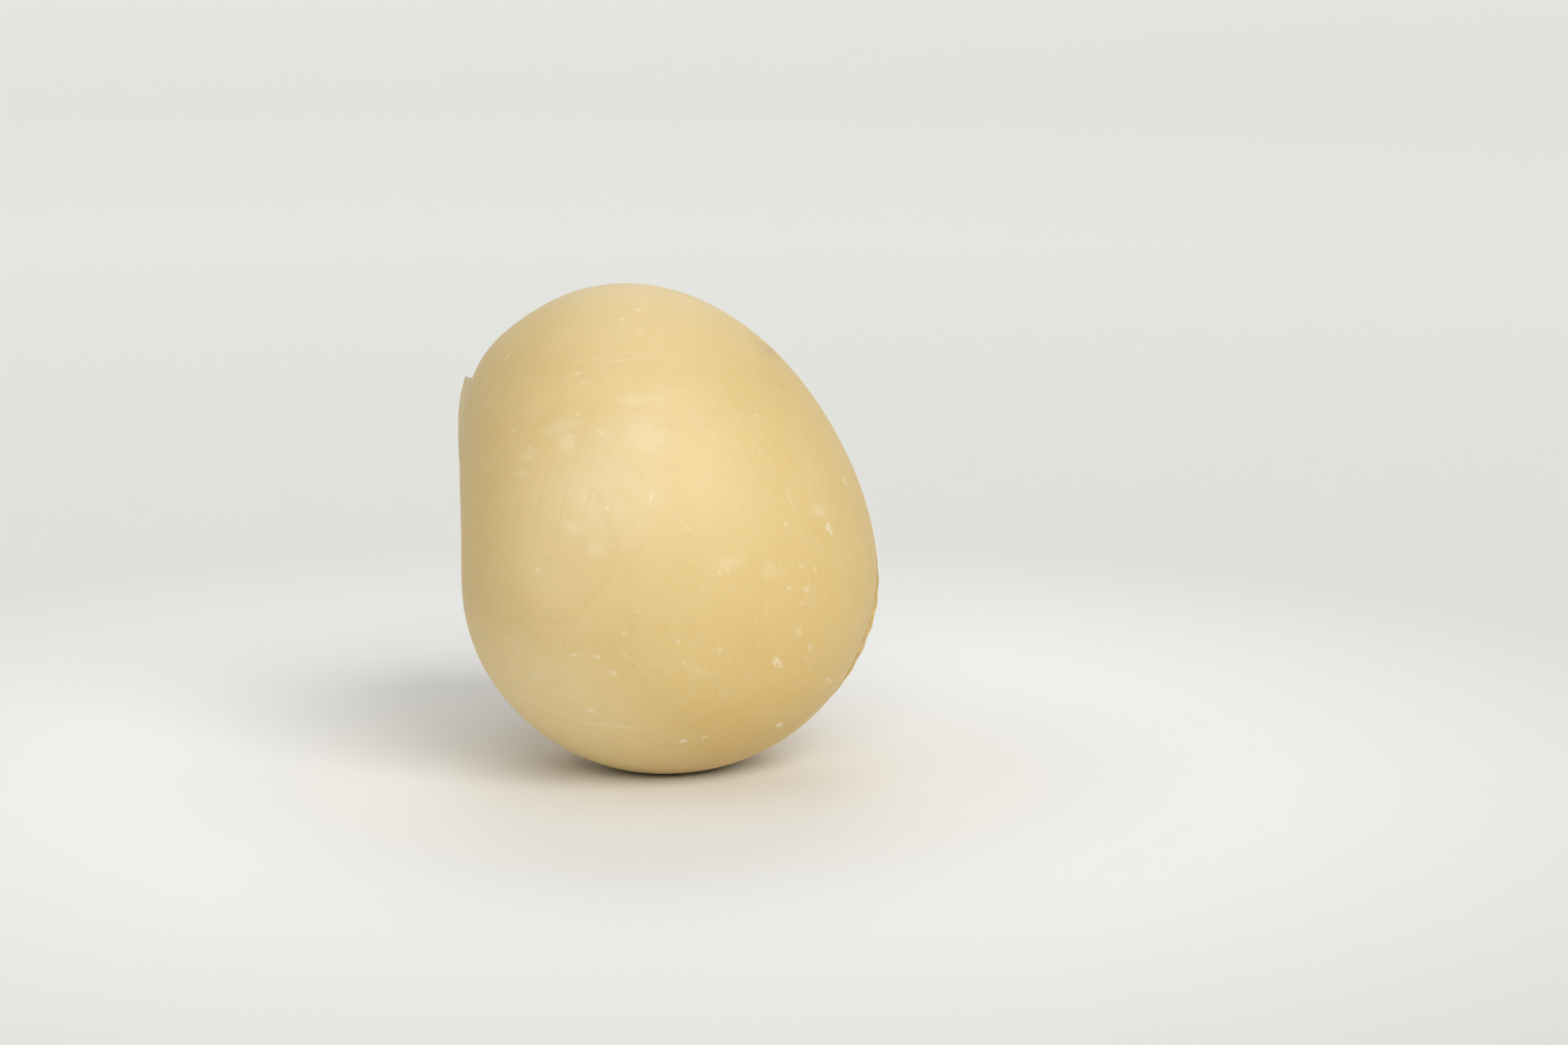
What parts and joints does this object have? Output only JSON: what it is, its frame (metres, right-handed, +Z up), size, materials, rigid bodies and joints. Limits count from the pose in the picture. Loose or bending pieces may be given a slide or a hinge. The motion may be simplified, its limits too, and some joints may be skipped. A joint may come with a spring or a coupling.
{
  "type": "truffle caciotta",
  "caption": "Whole egg-shaped caciotta of smooth ivory paste that leans on a small flat foot, its closing fold showing as thin lips at two edges.",
  "frame": {"origin": "middle of the bounding box, on the surface that the cheese stands on", "axes": "+Z up, -Y towards the cheese's front, +X to the right seen from the front"},
  "size_m": [0.1184, 0.115, 0.1372],
  "materials": {
    "rind": "smooth waxy rind, satin, pale straw yellow with ivory blooms"
  },
  "bodies": {
    "root": {"caciotta": "rind"}
  },
  "joints": []
}
